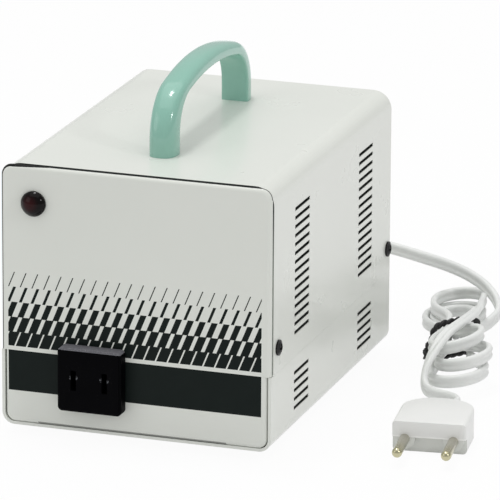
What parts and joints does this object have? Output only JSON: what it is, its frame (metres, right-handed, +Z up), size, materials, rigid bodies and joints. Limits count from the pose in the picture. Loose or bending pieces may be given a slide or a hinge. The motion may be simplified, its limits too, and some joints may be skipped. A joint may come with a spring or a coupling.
{
  "type": "step-down transformer",
  "caption": "Portable mains step-down transformer in a vented steel case, with carry handle, pilot lamp, flat-blade outlet, rear fuse holder and a hanked cord with a round-pin plug.",
  "frame": {"origin": "on the surface under the feet, below the middle of the box over the case, handle, outlet and fuse cap, without the cord and what is on it", "axes": "+Z up, +Y from the outlet panel to the rear panel, +X to the right seen from the front"},
  "size_m": [0.1799, 0.206, 0.1398],
  "materials": {
    "white_paint": "gloss",
    "green_plastic": "gloss",
    "black_plastic": "satin",
    "black_steel": "satin",
    "zinc_steel": "satin",
    "core_steel": "satin",
    "black_rubber": "matte",
    "red_lens": "gloss",
    "bulb_glass": "gloss",
    "clear_glass": "gloss",
    "brass": "satin",
    "nickel": "gloss",
    "copper": "satin",
    "cream_plastic": "matte",
    "yellow_tape": "satin",
    "white_plastic": "satin",
    "white_pvc": "satin",
    "lead_pvc": "satin"
  },
  "bodies": {
    "case": {"top_cover": "white_paint", "base_chassis": "white_paint", "front_panel": "white_paint", "rear_panel": "white_paint", "carry_handle": "green_plastic", "handle_screws": "zinc_steel", "cover_screws": "black_steel", "panel_screws": "zinc_steel", "rubber_feet": "black_rubber", "foot_screws": "zinc_steel", "lamp_lens": "red_lens", "lamp_body": "black_plastic", "lamp_clip": "zinc_steel", "neon_bulb": "bulb_glass", "outlet_body": "black_plastic", "outlet_clip": "zinc_steel", "outlet_contacts": "brass", "core_laminations": "core_steel", "bobbin": "cream_plastic", "primary_winding": "copper", "secondary_winding": "copper", "winding_wrap": "yellow_tape", "core_brackets": "zinc_steel", "core_bolts": "zinc_steel", "core_nuts": "zinc_steel", "mounting_screws": "zinc_steel", "thermal_cutout": "cream_plastic", "terminal_block": "cream_plastic", "terminal_screws": "brass", "fuse_holder_body": "black_plastic", "fuse_holder_nut": "black_plastic", "fuse_contact": "brass", "cord_bushing": "white_pvc", "power_cord": "white_pvc", "cord_hank": "white_pvc", "cord_tail": "white_pvc", "twist_tie": "black_rubber", "plug_body": "white_plastic", "plug_pins": "nickel", "supply_leads": "lead_pvc", "output_leads": "lead_pvc", "lamp_leads": "lead_pvc"},
    "fuse_carrier": {"glass_fuse": "clear_glass", "fuse_end_caps": "nickel"},
    "fuse_cap": {"fuse_cap": "black_plastic"}
  },
  "joints": [
    {"name": "fuse_slide", "type": "slide", "parent": "case", "child": "fuse_carrier", "axis": [0, 1, 0], "range_m": [0, 0.04]},
    {"name": "fuse_cap_turn", "type": "hinge", "parent": "fuse_carrier", "child": "fuse_cap", "pos_m": [-0.025, 0.0725, 0.035], "axis": [0, 1, 0], "range_deg": [0, 60]}
  ]
}
